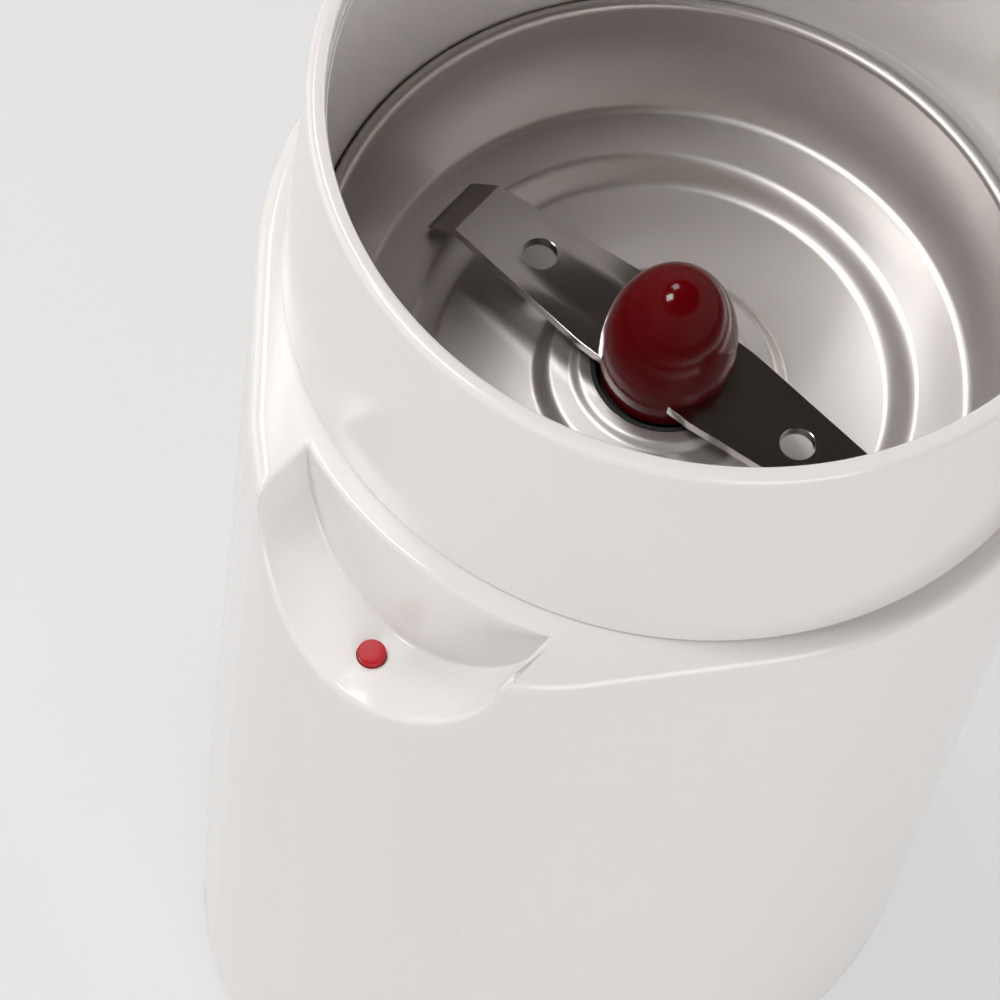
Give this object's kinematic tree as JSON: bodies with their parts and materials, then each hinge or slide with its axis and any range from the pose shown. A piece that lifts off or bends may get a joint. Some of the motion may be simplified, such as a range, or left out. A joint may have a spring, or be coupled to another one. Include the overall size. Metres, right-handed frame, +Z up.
{
  "type": "electric spice grinder",
  "caption": "Electric spice grinder with its lid off: steel bowl, flat blade under a domed hub, lid switch in a nose recess, motor inside.",
  "frame": {"origin": "on the blade axis at the plane the feet stand on", "axes": "+Z up along the blade axis, nose with the lid switch towards -Y, blade roughly along X, cord gland towards +Y"},
  "size_m": [0.0822, 0.0989, 0.1395],
  "materials": {
    "casing_plastic": "glossy",
    "red_plastic": "glossy",
    "bowl_steel": "satin",
    "blade_steel": "polished",
    "plain_steel": "satin",
    "lamination_steel": "matte",
    "enamelled_copper": "glossy",
    "bar_copper": "satin",
    "brush_brass": "satin",
    "bearing_bronze": "matte",
    "cast_aluminium": "matte",
    "carbon": "matte",
    "dark_plastic": "matte",
    "white_plastic": "satin",
    "dark_rubber": "matte",
    "grey_felt": "matte"
  },
  "bodies": {
    "frame": {"housing": "casing_plastic", "collar": "casing_plastic", "bowl": "bowl_steel", "bowl_gasket": "dark_rubber", "shaft_seal": "dark_rubber", "upper_bearing": "bearing_bronze", "oil_felt": "grey_felt", "lower_bearing": "bearing_bronze", "thrust_pad": "dark_plastic", "motor_plate": "cast_aluminium", "plate_screws": "plain_steel", "field_core": "lamination_steel", "field_coil_left": "enamelled_copper", "field_coil_right": "enamelled_copper", "lower_bracket": "cast_aluminium", "motor_bolts": "plain_steel", "brush_holder_left": "brush_brass", "brush_holder_right": "brush_brass", "carbon_brush_left": "carbon", "carbon_brush_right": "carbon", "brush_cap_left": "dark_plastic", "brush_cap_right": "dark_plastic", "brush_spring_left": "plain_steel", "brush_spring_right": "plain_steel", "return_spring": "plain_steel", "switch_bracket": "white_plastic", "bracket_screw": "plain_steel", "switch_body": "dark_plastic", "switch_terminals": "brush_brass", "lever_pivot": "plain_steel", "base_cover": "casing_plastic", "base_screws": "plain_steel", "feet": "dark_rubber", "cord_gland": "dark_rubber"},
    "rotor": {"shaft": "plain_steel", "thrust_washer": "plain_steel", "cooling_fan": "dark_plastic", "armature_core": "lamination_steel", "armature_windings": "enamelled_copper", "commutator": "bar_copper", "hub_skirt": "red_plastic", "blade": "blade_steel", "hub_cap": "red_plastic", "hub_insert": "brush_brass"},
    "pin": {"interlock_pin": "red_plastic", "push_rod": "white_plastic"},
    "lever": {"switch_lever": "plain_steel"},
    "plunger": {"switch_plunger": "dark_plastic"}
  },
  "joints": [
    {"name": "blade_spin", "type": "hinge", "parent": "frame", "child": "rotor", "pos_m": [0, 0, 0.0835], "axis": [0, 0, 1], "continuous": true},
    {"name": "pin_press", "type": "slide", "parent": "frame", "child": "pin", "axis": [0, 0, -1], "range_m": [0, 0.0026], "stiffness_N_per_m": 600, "springref_m": -0.002, "deforming": ["return_spring"]},
    {"name": "lever_swing", "type": "hinge", "parent": "frame", "child": "lever", "pos_m": [0, -0.0345, 0.0694], "axis": [1, 0, 0], "range_deg": [0, 14.85]},
    {"name": "plunger_press", "type": "slide", "parent": "frame", "child": "plunger", "axis": [0, 0, -1], "range_m": [0, 0.0014]}
  ],
  "couplings": [
    {"joint": "lever_swing", "follows": "pin_press", "rad_per_m": 99.35},
    {"joint": "plunger_press", "follows": "pin_press", "ratio": 0.5}
  ]
}
